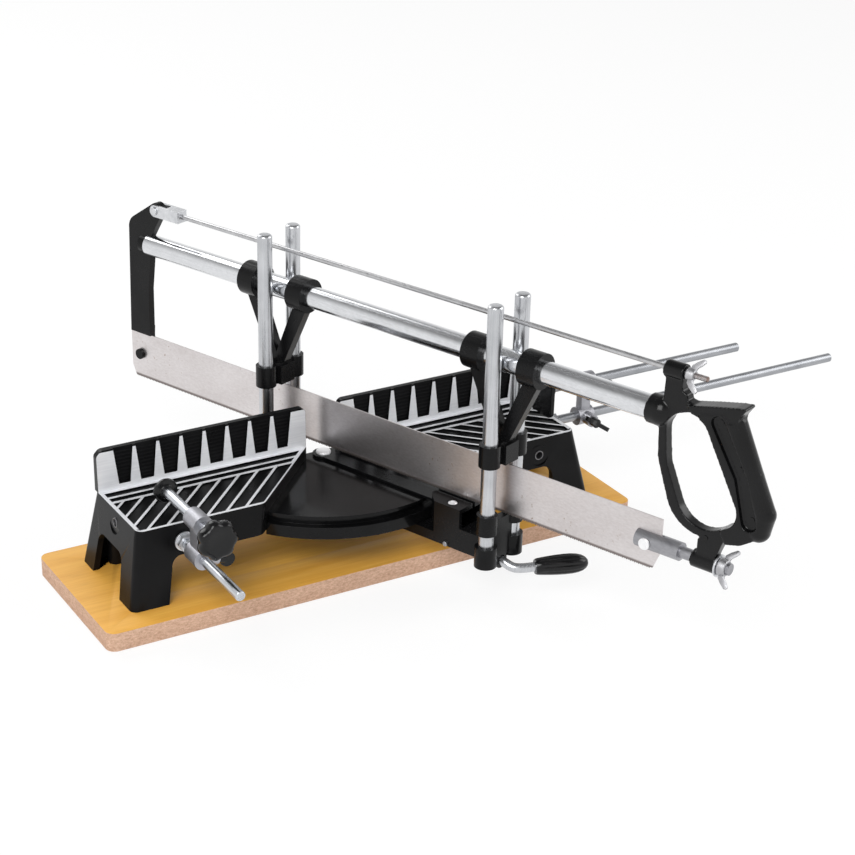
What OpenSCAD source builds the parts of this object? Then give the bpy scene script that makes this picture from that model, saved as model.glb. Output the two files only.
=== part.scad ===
// Manual mitre saw on a base board. All lengths in mm, angles in degrees.
// +X runs along the fence to the operator's right, +Y to the rear, +Z up.
// The origin lies on the underside of the board, under the swing pivot.

/* [Board] */
// Board length along the fence
board_w = 476; // [470:1:620]
// Board edge in front of the pivot
board_front = 108; // [100:1:160]
// Board edge behind the pivot
board_rear = 36; // [26:1:80]
// Board thickness
board_t = 15.4; // [12:0.2:22]
// Board corner radius
board_r = 8; // [3:0.5:15]

/* [Bench] */
// Half length of the bench at table height
bench_x = 198; // [190:1:215]
// Front edge of the tables
bench_front = 75; // [70:1:80]
// Rear face of the fences
bench_rear = 8; // [7:0.5:12]
// Table top above the board
table_h = 61; // [55:1:75]
// Outward flare of the end walls at the foot
flare_x = 11.6; // [4:0.2:14]
// Outward flare of the front wall at the foot
flare_front = 11.4; // [4:0.2:14]
// Outward flare of the rear wall at the foot
flare_rear = 6; // [2:0.2:10]
// Casting wall thickness
wall = 5; // [4:0.5:6]
// Fence height above the tables
fence_h = 34.6; // [28:0.2:45]
// Half width of the gap between the fences
fence_gap = 15.5; // [13:0.5:20]
// Pitch of the fence ribs
rib_pitch = 20; // [19:0.5:21]
// Depth of the fence panels and table grooves
groove_d = 1.2; // [0.6:0.1:2]
// Pitch of the diagonal table grooves
groove_pitch = 16.5; // [14:0.5:20]
// Radius of the quadrant's top face
quad_r = 112; // [106:0.5:113]
// Radius of the quadrant's index flange
flange_r = 115.5; // [114:0.5:117]

/* [Swivel arm] */
// Angle of the arm as shown, to the left at the rear
mitre = 20.5; // [-45:0.5:45]
// Half width of the arm
arm_u = 18; // [16:0.5:20]
// Front post centres ahead of the pivot
post_front = 181.5; // [176:0.5:200]
// Rear post centres behind the pivot
post_rear = 48; // [46:0.5:60]
// Half distance between the posts of a pair
post_u = 16.6; // [16:0.1:20]
// Post diameter
post_d = 12; // [10:0.5:13]
// Top of the posts
post_top = 250; // [235:1:290]

/* [Saw] */
// Blade length
blade_l = 550; // [548:1:560]
// Blade height
blade_h = 43; // [38:0.5:45]
// Blade thickness
blade_t = 1; // [0.6:0.1:1.4]
// Rear end of the blade behind the pivot
blade_rear = 223; // [221:0.5:225]
// Height of the tube axis
tube_z = 201.5; // [195:0.5:205]
// Tube diameter
tube_d = 18; // [16:0.5:19]
// Tension rod diameter
rod_d = 4; // [3:0.5:6]

/* [Clamp and stop] */
// Diameter of the clamp and stop rods
bar_d = 8; // [6:0.5:9]
// Length of the clamp rod outside the table
clamp_reach = 98; // [85:1:120]
// Length of the stop carrier rod outside the bench
stop_reach = 304; // [200:1:400]
// Distance between the holes of a two-hole link
link_c = 31.5; // [28:0.5:36]

/* [Hidden] */
$fn = 64;
eps = 0.02;
fit_r = 0.05;
table_z = board_t + table_h;
plate_t = wall - 0.5;
plate_z = table_z - plate_t;
fence_z = table_z + fence_h;
quad_top = table_z - 10.4;
flange_top = quad_top - 8;
flange_low = quad_top - 18;
arch_z = table_z - 24.4;
leg_in = bench_x - 19;
slant = fence_gap + 1;
foot_x = bench_x - 11;
foot_y0 = -bench_front + 7;
foot_y1 = bench_rear - 10;
hole_x = 161.5;
hole_z = table_z - 14;
face_y = -bench_front - 2.9;
end_y = -35;
end_z = table_z - 9;
face_x = bench_x + 2;
arm_low = flange_low - 9;
arm_top = flange_low - 0.5;
rail_top = quad_top + 2.4;
block_v0 = 120;
block_v1 = 156;
screw_v = -block_v1 + 13;
blade_z0 = table_z - 1.6;
block_top = blade_z0 - 0.8;
blade_z1 = blade_z0 + blade_h;
blade_front = blade_rear - blade_l;
socket_z0 = arm_low - 4.5;
socket_z1 = socket_z0 + 17;
collar_z0 = socket_z1 + 11;
collar_z1 = collar_z0 + 16.5;
guide_z0 = blade_z1 + 2.2;
guide_z1 = guide_z0 + 18;
guide_r = tube_d / 2 + 5;
rod_z = tube_z + 33.5;
hold_z = blade_z0 + 22.7;
arm_v = blade_rear - 38.4;
tube_rear = blade_rear - 26;
tube_front = blade_front + 9;
nut_v = blade_front - 9.5;
seat_v = blade_front - 48;
lever_z = arm_low - 5;
clamp_y = -104.5;
clamp_c = link_c - 3;
clamp_z = hole_z + clamp_c;
link_w = 15;
clamp_w = 19;
stem_r = 4.5;
stop_x = 234;
stop_z = end_z + link_c;
stop_face = bench_x - 11;
stop_l = 207;
bar_r = bar_d / 2;

module at_arm() {
  rotate([0, 0, mitre]) children();
}

// A cylinder along X starting at x
module bar_x(x, len, r) {
  translate([x, 0, 0]) rotate([0, 90, 0]) cylinder(h = len, r = r);
}

// A cylinder along Y starting at y
module bar_y(y, len, r) {
  translate([0, y, 0]) rotate([-90, 0, 0]) cylinder(h = len, r = r);
}

// A flat profile given as (y, z), of width w across X
module side_plate(w) {
  rotate([90, 0, 90]) translate([0, 0, -w / 2]) linear_extrude(w) children();
}

// A bar with round ends of two radii, as a flat profile
module taper_bar(a, ra, b, rb) {
  d = b - a;
  len = norm(d);
  t = d / len;
  n = [-t[1], t[0]];
  s = (ra - rb) / len;
  c = sqrt(1 - s * s);
  translate(a) circle(r = ra);
  translate(b) circle(r = rb);
  polygon([a + ra * (c * n + s * t), b + rb * (c * n + s * t), b + rb * (-c * n + s * t),
    a + ra * (-c * n + s * t)]);
}

// A rounded rectangle from corner a to corner b
module round_box(a, b, r) {
  translate([a[0] + r, a[1]]) square([b[0] - a[0] - 2 * r, b[1] - a[1]]);
  translate([a[0], a[1] + r]) square([b[0] - a[0], b[1] - a[1] - 2 * r]);
  for (x = [a[0] + r, b[0] - r], y = [a[1] + r, b[1] - r]) translate([x, y]) circle(r = r);
}

module foot_points() {
  for (x = [-foot_x, foot_x], y = [foot_y0, foot_y1]) translate([x, y, 0]) children();
}

module base_board() {
  color([0.86, 0.62, 0.28]) difference() {
    linear_extrude(board_t) round_box([-board_w / 2, -board_front], [board_w / 2, board_rear], board_r);
    foot_points() translate([0, 0, -1]) cylinder(h = board_t + 2, r = 2.3);
    foot_points() translate([0, 0, -1]) cylinder(h = 5, r = 4.6);
  }
}

module bench_screws() {
  color([0.7, 0.7, 0.72]) foot_points() {
    translate([0, 0, 0.6]) cylinder(h = 3.4, r = 4.2);
    cylinder(h = board_t + 16, r = 2.2);
  }
}

// Drafted block of one table, shrunk by s on the walls and cut off at the height top
module table_block(s, top) {
  intersection() {
    rotate([90, 0, 0]) translate([0, 0, -60]) linear_extrude(260) polygon([[-bench_x + s, top],
      [-bench_x - flare_x + s, board_t], [40, board_t], [40, top]]);
    side_plate(900) polygon([[-bench_front + s, top], [-bench_front - flare_front + s, board_t],
      [bench_rear + flare_rear - s, board_t], [bench_rear - s, top]]);
    translate([0, 0, board_t]) linear_extrude(top - board_t) polygon([[-300, -bench_front - 40],
      [-bench_front - 40 - slant - s, -bench_front - 40], [-fence_gap - s, 1 - 0.41 * s],
      [-fence_gap - s, 60], [-300, 60]]);
  }
}

// Openings between the legs of one table
module table_arches() {
  rotate([90, 0, 0]) translate([0, 0, -60]) linear_extrude(260) {
    round_box([-leg_in, -20], [60, arch_z], 9);
    translate([0, -20]) square([60, arch_z + 20]);
  }
  rotate([90, 0, 90]) translate([0, 0, -bench_x - 60]) linear_extrude(100)
    round_box([-bench_front + 11, -20], [bench_rear - 12, arch_z - 2], 9);
}

module fence_panels() {
  tips = [for (k = [0:7]) -fence_gap - 30.5 - rib_pitch * k];
  z0 = table_z + 4;
  z1 = fence_z + 1;
  rotate([90, 0, 0]) translate([0, 0, -2.4 - groove_d]) linear_extrude(6) for (k = [-1:6]) {
    r0 = k < 0 ? -fence_gap - 17 : tips[k] - 4.6;
    r1 = k < 0 ? -fence_gap - 13.2 : tips[k] - 1.1;
    l0 = k == 6 ? tips[k] - 14 : tips[k + 1] + 4.6;
    l1 = k == 6 ? tips[k] - 17.7 : tips[k + 1] + 1.1;
    polygon([[l0, z0], [r0, z0], [r1, z1], [l1, z1]]);
  }
}

module fence() {
  difference() {
    rotate([90, 0, 90]) translate([0, 0, -bench_x]) linear_extrude(bench_x - fence_gap)
      polygon([[1.2, table_z], [bench_rear, table_z], [bench_rear, fence_z], [2.4, fence_z]]);
    fence_panels();
    translate([-bench_x, 20, fence_z]) rotate([90, 45, 0]) translate([-3, -3, 0]) cube([6, 6, 40]);
    translate([-fence_gap, 20, fence_z]) rotate([90, 45, 0]) translate([-2, -2, 0]) cube([4, 4, 40]);
  }
}

module table_grooves() {
  border = -fence_gap - 4.6;
  left = -bench_x + 3.4;
  translate([0, 0, table_z - groove_d]) linear_extrude(5) {
    polygon([[left, -9.6], [border - 10.6, -9.6], [border - 4, -3], [left, -3]]);
    polygon([[left, -18], [border - 19, -18], [border - 13.6, -12.6], [left, -12.6]]);
    intersection() {
      translate([left, -bench_front + 3]) square([bench_x, bench_front - 24.4]);
      for (k = [0:11]) translate([-slant - groove_pitch * k, 0]) polygon([[-2.2 - 100, -100], [-2.2, 0],
        [-groove_pitch + 1.2, 0], [-groove_pitch + 1.2 - 100, -100]]);
    }
  }
}

// Everything above the underside of the table plates
module plate_zone() {
  translate([-400, -300, plate_z]) cube([500, 400, 60]);
}

module table_top() {
  difference() {
    intersection() {
      table_block(0, table_z);
      plate_zone();
    }
    table_grooves();
  }
}

module table_legs() {
  difference() {
    union() {
      difference() {
        table_block(0, table_z);
        table_block(wall, table_z);
        table_arches();
      }
      translate([-foot_x, foot_y0, board_t]) cylinder(h = table_h, r = 6.5);
      translate([-foot_x, foot_y1, board_t]) cylinder(h = table_h, r = 6.5);
      translate([-hole_x, 0, hole_z]) bar_y(face_y + 1.2, 22, 8.5);
      translate([0, end_y, end_z]) bar_x(-face_x + 1.2, 22, 7);
    }
    plate_zone();
    translate([-foot_x, foot_y0, 0]) cylinder(h = board_t + 17, r = 2.25);
    translate([-foot_x, foot_y1, 0]) cylinder(h = board_t + 17, r = 2.25);
    translate([-hole_x, 0, hole_z]) bar_y(face_y - 20, 60, bar_r + fit_r);
    translate([-hole_x, 0, hole_z]) bar_y(face_y - 20, 20, 9);
    translate([0, end_y, end_z]) bar_x(-face_x - 20, 60, bar_r + fit_r);
    translate([0, end_y, end_z]) bar_x(-face_x - 20, 20, 9);
  }
}

module left_table() {
  color([0.1, 0.1, 0.11]) table_top();
}

module left_legs() {
  color([0.1, 0.1, 0.11]) table_legs();
}

module left_fence() {
  color([0.1, 0.1, 0.11]) fence();
}

module right_table() {
  color([0.1, 0.1, 0.11]) mirror([1, 0, 0]) table_top();
}

module right_legs() {
  color([0.1, 0.1, 0.11]) mirror([1, 0, 0]) table_legs();
}

module right_fence() {
  color([0.1, 0.1, 0.11]) mirror([1, 0, 0]) fence();
}

module quadrant() {
  color([0.1, 0.1, 0.11]) difference() {
    intersection() {
      union() {
        translate([0, 0, flange_low]) cylinder(h = flange_top - flange_low, r = flange_r, $fn = 96);
        translate([0, 0, flange_low]) cylinder(h = quad_top - flange_low - 3, r = quad_r - 2.5, $fn = 96);
        translate([0, 0, quad_top - 3]) cylinder(h = 3, r = quad_r, $fn = 96);
      }
      translate([0, 0, flange_low]) linear_extrude(30) polygon([[-23, 9], [23, 9], [120, -50],
        [120, -130], [-120, -130], [-120, -50]]);
    }
    table_block(0, table_z);
    mirror([1, 0, 0]) table_block(0, table_z);
    translate([0, 0, flange_low - 1]) cylinder(h = 60, r = 4 + fit_r);
    for (a = [-45, -36, -30, -22.5, -15, 0, 15, 22.5, 30, 36, 45]) rotate([0, 0, a])
      translate([0, -flange_r + 3.4, flange_low - 1]) cylinder(h = 4, r = 1.6);
  }
}

module thread_inserts() {
  color([0.75, 0.75, 0.77]) {
    translate([hole_x, 0, hole_z]) difference() {
      bar_y(face_y, 14, bar_r);
      bar_y(face_y - 2, 30, bar_r - 0.7);
    }
    translate([0, end_y, end_z]) difference() {
      bar_x(-face_x, 14, bar_r);
      bar_x(-face_x - 2, 30, bar_r - 0.7);
    }
  }
}

module post_pair(v) {
  for (u = [-post_u, post_u]) translate([u, v, 0]) children();
}

module post_bores(v) {
  post_pair(v) translate([0, 0, socket_z0 + 2]) cylinder(h = 90, r = post_d / 2 + fit_r / 2);
}

// Two sleeves and the web between them, at the distance v from the pivot
module post_holder(v, room = 0) {
  post_pair(v) {
    translate([0, 0, socket_z0]) cylinder(h = socket_z1 - socket_z0 + room, r = post_d / 2 + 2.8 + room);
    translate([0, 0, collar_z0]) cylinder(h = collar_z1 - collar_z0, r = post_d / 2 + 2.2 + room);
  }
  translate([-post_u, v - 3.5 - room, socket_z0 + 3])
    cube([2 * post_u, 7 + 2 * room, collar_z0 + 6 - socket_z0]);
}

module swivel_arm() {
  color([0.09, 0.09, 0.1]) at_arm() difference() {
    union() {
      translate([-arm_u, -block_v1, arm_low]) cube([2 * arm_u, block_v1 + post_rear - 3, arm_top - arm_low]);
      translate([0, 0, arm_low]) linear_extrude(block_top - arm_low) polygon([[-arm_u, -block_v1],
        [arm_u, -block_v1], [arm_u, -block_v0 - 11], [arm_u - 11, -block_v0], [-arm_u + 11, -block_v0],
        [-arm_u, -block_v0 - 11]]);
      translate([-arm_u, -post_front + 3, arm_low]) cube([2 * arm_u, post_front - block_v1, 19]);
      translate([-7, -block_v0 - 1, quad_top + 0.4]) cube([14, block_v0 + 1, rail_top - quad_top - 0.4]);
      translate([0, 0, quad_top + 0.4]) cylinder(h = rail_top - quad_top - 0.4, r = 9);
    }
    for (v = [-post_front, post_rear]) {
      post_holder(v, 0.1);
      post_pair(v) translate([0, 0, socket_z1 - 1]) cylinder(h = 40, r = post_d / 2 + 0.6);
    }
    translate([-arm_u + 3, -block_v0 + 8, arm_low - 1]) cube([2 * arm_u - 6, block_v0 + 20, 7]);
    translate([-arm_u + 3.5, -block_v1 - 1, arm_low + 8])
      cube([2 * arm_u - 7, block_v1 - block_v0 - 8, block_top - arm_low - 12]);
    translate([-1.5, -block_v1 - 1, block_top - 6]) cube([3, block_v1 - block_v0 + 2, 10]);
    translate([0, 0, arm_low - 1]) cylinder(h = 60, r = 4 + fit_r);
    for (u = [-10, 10]) translate([u, screw_v, block_top - 8]) cylinder(h = 20, r = 2.05);
    for (u = [-10, 10]) translate([u, screw_v, block_top - 1.2]) cylinder(h = 20, r = 4.4);
    translate([0, screw_v - 1, arm_low + 2.5]) bar_x(-40, 80, 2.05);
  }
}

module front_post_holder() {
  color([0.09, 0.09, 0.1]) at_arm() difference() {
    union() {
      post_holder(-post_front);
      translate([0, 0, lever_z]) bar_y(-post_front - 3.4, 6.2, 6.8);
    }
    post_bores(-post_front);
    translate([0, 0, lever_z]) bar_y(-post_front - 12, 40, 4.2);
  }
}

module rear_post_holder() {
  color([0.09, 0.09, 0.1]) at_arm() difference() {
    post_holder(post_rear);
    post_bores(post_rear);
  }
}

module pivot_rivet() {
  color([0.85, 0.85, 0.87]) {
    translate([0, 0, rail_top]) cylinder(h = 1.4, r = 6.2);
    translate([0, 0, rail_top + 1.4]) cylinder(h = 0.8, r1 = 6.2, r2 = 4);
    translate([0, 0, arm_low + 6 - 3]) cylinder(h = rail_top - arm_low - 3 + eps, r = 4);
    translate([0, 0, arm_low + 6 - 3]) cylinder(h = 3, r = 7);
  }
}

module bridge_screws() {
  color([0.85, 0.85, 0.87]) at_arm() for (u = [-10, 10]) translate([u, screw_v, 0]) {
    translate([0, 0, block_top - 1.2]) cylinder(h = 1.4, r = 3.8);
    translate([0, 0, block_top - 6]) cylinder(h = 5, r = 2);
  }
}

module index_pin() {
  color([0.8, 0.8, 0.82]) at_arm() translate([0, screw_v - 1, arm_low + 2.5]) {
    bar_x(-arm_u - 2.4, 2 * arm_u + 4.8, 2);
  }
}

module posts(v) {
  color([0.82, 0.83, 0.85]) at_arm() post_pair(v) {
    translate([0, 0, socket_z0 + 2]) cylinder(h = post_top - socket_z0 - 4, r = post_d / 2);
    translate([0, 0, post_top - 2 - eps]) cylinder(h = 2, r1 = post_d / 2, r2 = post_d / 2 - 2);
  }
}

module front_posts() {
  posts(-post_front);
}

module rear_posts() {
  posts(post_rear);
}

module guide(v) {
  color([0.1, 0.1, 0.11]) at_arm() translate([0, v, 0]) difference() {
    union() {
      for (s = [-1, 1]) translate([0, 0, tube_z]) bar_y(s > 0 ? 18 : -34, 16, guide_r);
      for (s = [-1, 1])
        side_plate(8) taper_bar([s * 25, tube_z - guide_r + 2], 6.2, [s * 4, guide_z1 + 4], 5.2);
      translate([-post_u, -5, guide_z0]) cube([2 * post_u, 10, 18]);
      translate([-8, -9, guide_z0]) cube([16, 18, 16]);
      post_pair(0) translate([0, 0, guide_z0]) cylinder(h = 18, r = post_d / 2 + 2.4);
    }
    translate([0, 0, tube_z]) bar_y(-60, 120, tube_d / 2 + fit_r);
    post_pair(0) translate([0, 0, guide_z0 - 20]) cylinder(h = 80, r = post_d / 2 + fit_r);
  }
}

module front_guide() {
  guide(-post_front);
}

module rear_guide() {
  guide(post_rear);
}

module main_tube() {
  color([0.85, 0.86, 0.88]) at_arm() translate([0, 0, tube_z]) difference() {
    bar_y(tube_front, tube_rear - tube_front, tube_d / 2);
    bar_y(tube_front - 1, tube_rear - tube_front + 2, tube_d / 2 - 1.5);
    translate([-3.05, tube_rear - 10.5, -20]) cube([6.1, 30, 40]);
  }
}

module rear_arm() {
  color([0.09, 0.09, 0.1]) at_arm() difference() {
    union() {
      side_plate(6) {
        taper_bar([arm_v, rod_z], 6.5, [blade_rear - 17.6, tube_z + 11.5], 13.1);
        polygon([[blade_rear - 30, tube_z + 10], [blade_rear - 4.6, tube_z + 12],
          [blade_rear - 2, blade_z1 - 2], [blade_rear - 25.5, blade_z1 - 2], [blade_rear - 26, tube_z - 40],
          [blade_rear - 29.5, tube_z - 12]]);
      }
      translate([0, 0, tube_z]) bar_y(tube_rear, 7, 8);
      translate([3, 0, 0]) side_plate(4) polygon([[blade_rear - 3, blade_z1 + 8],
        [blade_rear - 24, blade_z1 + 8], [blade_rear - 21, hold_z - 9], [blade_rear - 6, hold_z - 9]]);
    }
    translate([-10 + blade_t / 2 + fit_r, 150, blade_z0 - 20]) cube([10, 120, blade_h + 20.3]);
    translate([0, arm_v, rod_z]) bar_x(-20, 40, 2.5 + fit_r / 2);
    translate([0, blade_rear - 11, hold_z]) bar_x(-20, 40, 3);
  }
}

module rear_blade_pin() {
  color([0.1, 0.1, 0.11]) at_arm() translate([0, blade_rear - 11, hold_z]) {
    bar_x(-blade_t / 2 - 3, 3, 4.6);
    bar_x(-blade_t / 2 - 1, 7, 2.95);
  }
}

module tension_rod() {
  color([0.7, 0.7, 0.72]) at_arm() translate([0, 0, rod_z])
    bar_y(nut_v - 16.5, arm_v - 18.6 - nut_v + 16.5, rod_d / 2);
}

module rod_clevis() {
  color([0.75, 0.76, 0.78]) at_arm() translate([0, 0, rod_z]) difference() {
    union() {
      translate([-5.5, arm_v - 27.6, -5]) cube([11, 27.6, 10]);
      translate([0, arm_v, 0]) bar_x(-5.5, 11, 5);
    }
    translate([-3.05, arm_v - 12.6, -20]) cube([6.1, 40, 40]);
    bar_y(arm_v - 34.6, 16, rod_d / 2 + fit_r / 2);
    translate([0, arm_v, 0]) bar_x(-20, 40, 2.5 + fit_r / 2);
  }
}

module clevis_pin() {
  color([0.8, 0.8, 0.82]) at_arm() translate([0, arm_v, rod_z]) {
    bar_x(-6.5, 13, 2.5);
    bar_x(-7, 1.5, 3.6);
    bar_x(5.5, 1.5, 3.6);
  }
}

// A wing nut whose seat lies at y = 0, pointing to -Y
module wing_nut(bore) {
  difference() {
    union() {
      bar_y(-6, 6, bore + 2.4);
      for (s = [-1, 1]) translate([0, 0, 0]) rotate([90, 0, 0]) translate([0, 0, 1]) linear_extrude(2.2)
        taper_bar([0, 0], 2.6, [s * 9, s * 2], 2.8);
      for (s = [-1, 1]) rotate([0, -s * 12, 0]) translate([s * 8 - 1.6, -9.5, -2.6]) cube([3.2, 8, 5.2]);
    }
    bar_y(-20, 40, bore + fit_r);
  }
}

module top_wing_nut() {
  color([0.78, 0.78, 0.8]) at_arm() translate([0, nut_v, rod_z]) rotate([0, 60, 0]) wing_nut(rod_d / 2);
}

// Round bar in the blade's plane between two points given as [v, z]
module grip_rod(a, b, r) {
  d = b - a;
  translate([0, a[0], a[1]]) rotate([atan2(d[1], d[0]) - 90, 0, 0]) cylinder(h = norm(d), r = r);
}

module handle() {
  top = [-12.5, -6];
  back = [-19.5, -29.5];
  low = [-33, -53];
  front = [-48, -57];
  hole = [[-14.5, -11], [-20.2, -31.4], [-34.5, -54], [-47.5, -57.2], [-19, -9.5]];
  grip = [[-50, 9], [-67.5, -28], [-79.8, -53], [-77, -66]];
  rod_h = rod_z - tube_z;
  hold_h = hold_z - tube_z;
  color([0.09, 0.09, 0.1]) at_arm() translate([0, blade_front, tube_z]) difference() {
    union() {
      side_plate(9) {
        taper_bar(top, 21, back, 26.6);
        taper_bar(back, 26.6, low, 31.5);
        taper_bar(low, 31.5, front, 22);
        polygon([[5.5, rod_h], [6.5, 0], [-15, 5.5], [-13, 19], [-8.5, 21.5], [-8.5, rod_h]]);
        polygon([[-31.5, hold_h + 18], [-53, hold_h + 24.5], [-45.4, hold_h + 3], [-31.5, hold_h + 3]]);
      }
      side_plate(14) polygon([[-14, 12.5], [-34.6, 17.8], [-52.6, 22], [-59.8, 23.1], [-61, 21.9], [-56.4, 15],
        [-54, 4], [-29, -3]]);
      side_plate(16) polygon([[-26, 9.5], [-44, 14], grip[0], grip[1], grip[2], grip[3], [-76, -73], [-67, -79],
        [-55, -82.2], [-46, -67], [-42, -40], [-26, -8]]);
      for (k = [0:2]) grip_rod(grip[k], grip[k + 1], 8.5);
      for (k = [1:3]) translate([0, grip[k][0], grip[k][1]]) sphere(r = 8.65);
      translate([0, 0, rod_h]) bar_y(-8.5, 16, 6.4);
      translate([0, 0, hold_h]) bar_y(-48, 20.5, 7);
      bar_y(9.5, 8, 11.2);
      translate([0, 9.5, 0]) sphere(r = 11.4);
    }
    side_plate(60) {
      taper_bar(hole[0], 16.5, hole[1], 20);
      taper_bar(hole[1], 20, hole[2], 24);
      taper_bar(hole[2], 24, hole[3], 14.2);
      taper_bar(hole[4], 16.6, hole[3], 14.4);
      taper_bar(hole[0], 16.4, hole[4], 16.7);
      polygon([hole[0], hole[1], hole[2], hole[3], hole[4]]);
    }
    for (s = [-1, 1]) translate([s * 8.2, 0, 0]) side_plate(8) {
      taper_bar([-41.1, 6.9], 5.5, [-62.9, -28.6], 5.2);
      taper_bar([-62.9, -28.6], 5.2, [-72.3, -59.5], 6.2);
    }
    bar_y(9, 40, tube_d / 2 + fit_r / 2);
    translate([0, 0, rod_h]) bar_y(-73, 120, rod_d / 2 + fit_r / 2);
    translate([0, 0, hold_h]) bar_y(-73, 60, stem_r + fit_r / 2);
  }
}

module blade() {
  color([0.78, 0.77, 0.78]) at_arm() difference() {
    side_plate(blade_t) polygon([[blade_rear, blade_z1], [blade_rear, blade_z0 + 10],
      [blade_rear - 4, blade_z0], [blade_front + 6, blade_z0], [blade_front, blade_z0 + 16],
      [blade_front, blade_z1]]);
    translate([0, blade_rear - 11, hold_z]) bar_x(-20, 40, 3);
    translate([0, blade_front + 10, hold_z]) bar_x(-20, 40, 3.05);
  }
}

module blade_holder() {
  color([0.5, 0.5, 0.52]) at_arm() translate([0, 0, hold_z]) difference() {
    union() {
      bar_y(blade_front - 17, 37, 7);
      bar_y(blade_front - 58, 42, stem_r);
    }
    translate([-blade_t / 2 - fit_r / 2, blade_front - 2, -20]) cube([blade_t + fit_r, 60, 40]);
    translate([0, blade_front + 10, 0]) bar_x(-20, 40, 3.05);
  }
}

module blade_bolt() {
  color([0.85, 0.85, 0.87]) at_arm() translate([0, blade_front + 10, hold_z]) {
    bar_x(-9, 18, 3);
    bar_x(-9, 2, 4.6);
    bar_x(7, 2, 4.6);
  }
}

module bottom_washer() {
  color([0.78, 0.78, 0.8]) at_arm() translate([0, seat_v - 1.4, hold_z]) difference() {
    bar_y(0, 1.4, 8.5);
    bar_y(-5, 20, stem_r + fit_r);
  }
}

module bottom_wing_nut() {
  color([0.78, 0.78, 0.8]) at_arm() translate([0, seat_v - 1.7, hold_z]) rotate([0, 55, 0]) wing_nut(stem_r);
}

lever_a = [0, -post_front - 4.2, lever_z];
lever_b = [1, -post_front - 14, lever_z - 4.5];
lever_c = [15, -post_front - 25, lever_z - 4.5];
lever_d = [49, -post_front - 51.5, lever_z - 4.5];

// A round rod from point a to point b with a ball at its end
module rod_between(a, b, r) {
  d = b - a;
  translate(a) rotate([0, acos(d[2] / norm(d)), atan2(d[1], d[0])]) cylinder(h = norm(d), r = r);
  translate(b) sphere(r = r + 0.2);
}

module lock_lever() {
  color([0.82, 0.83, 0.85]) at_arm() {
    translate([0, 0, lever_z]) bar_y(lever_a[1], 42, 3.8);
    translate(lever_a) sphere(r = 4);
    rod_between(lever_a, lever_b, 3.8);
    rod_between(lever_b, lever_c, 3.8);
    rod_between(lever_c, lever_c + 0.35 * (lever_d - lever_c), 3.8);
  }
}

module lever_grip() {
  d = lever_d - lever_c;
  color([0.05, 0.05, 0.06]) at_arm() translate(lever_c) rotate([0, 90, atan2(d[1], d[0])]) difference() {
    rotate_extrude() difference() {
      intersection() {
        translate([-82, norm(d) / 2]) circle(r = 90.2, $fn = 128);
        square([20, norm(d)]);
      }
      square([eps, norm(d)]);
    }
    translate([0, 0, -1]) cylinder(h = 1 + 0.35 * norm(d), r = 3.8 + fit_r);
    translate([0, 0, 0.35 * norm(d)]) sphere(r = 4.1);
    sphere(r = 4.15);
  }
}

module hex_nut(r, bore, h) {
  difference() {
    union() {
      cylinder(h = h, r = r, $fn = 6);
      cylinder(h = 1.6, r = r + 1);
    }
    translate([0, 0, -1]) cylinder(h = h + 2, r = bore);
  }
}

module clamp_rod() {
  color([0.8, 0.81, 0.83]) translate([-hole_x, 0, hole_z]) {
    bar_y(face_y - clamp_reach, clamp_reach + 18, bar_r);
  }
}

module clamp_nut() {
  color([0.8, 0.8, 0.82]) translate([-hole_x, face_y, hole_z]) rotate([90, 0, 0])
    hex_nut(7, bar_r + fit_r, 6);
}

// Two-hole link standing along Z with both holes along X, its boss towards -Y
module two_hole_link(tilt, both, w, c) {
  difference() {
    union() {
      translate([-w / 2, 0, 0]) bar_x(0, w, bar_r + 4);
      translate([-w / 2, 0, c]) bar_x(0, w, bar_r + 4);
      translate([-w / 2 + 3, -4, 0]) cube([w - 6, 8, c]);
      rotate([tilt, 0, 0]) bar_y(-16, 16, 5.5);
      if (both) translate([0, 0, c]) bar_y(-16, 16, 5.5);
    }
    bar_x(-50, 100, bar_r + fit_r);
    translate([0, 0, c]) bar_x(-50, 100, bar_r + fit_r);
    rotate([tilt, 0, 0]) bar_y(-30, 30, 2.6);
    if (both) translate([0, 0, c]) bar_y(-30, 30, 2.6);
  }
}

// Thumb screw along -Y from the link's boss
module thumb_screw() {
  bar_y(-22, 22 - bar_r - 0.4, 2.5);
  bar_y(-22, 5.6, 4);
  translate([0, -20, 0]) rotate([90, 0, 90]) translate([0, 0, -1.6]) linear_extrude(3.2)
    taper_bar([0, 0], 4, [-4.5, 0], 6);
}

// Wing screw along -Y from the link's boss
module wing_screw(turn) {
  bar_y(-22, 22 - bar_r - 0.4, 2.5);
  bar_y(-22, 5.6, 4);
  for (s = [-1, 1]) rotate([0, turn, 0]) translate([0, 0, -1.8]) linear_extrude(3.6)
    taper_bar([0, -20], 3.2, [s * 9.5, -22], 4.4);
}

module clamp_link() {
  color([0.62, 0.62, 0.64]) translate([-hole_x, clamp_y, hole_z]) rotate([0, 0, 90])
    two_hole_link(20, false, clamp_w, clamp_c);
}

module clamp_thumb_screw() {
  color([0.08, 0.08, 0.09]) translate([-hole_x, clamp_y, hole_z]) rotate([0, 0, 90]) rotate([20, 0, 0])
    thumb_screw();
}

module clamp_screw() {
  color([0.8, 0.81, 0.83]) translate([-hole_x, 0, clamp_z]) {
    bar_y(-139, 139 - 49, bar_r);
    bar_y(-49 - eps, 3 + eps, 2.5);
  }
}

module clamp_knob() {
  color([0.07, 0.07, 0.08]) translate([-hole_x, 0, clamp_z]) difference() {
    union() {
      bar_y(-143, 11, 12.6);
      bar_y(-132, 3, 7);
      for (a = [0:60:300]) rotate([0, a, 0]) translate([11.2, 0, 0]) bar_y(-143, 11, 4.2);
    }
    bar_y(-139, 60, bar_r + fit_r / 2);
  }
}

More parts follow.
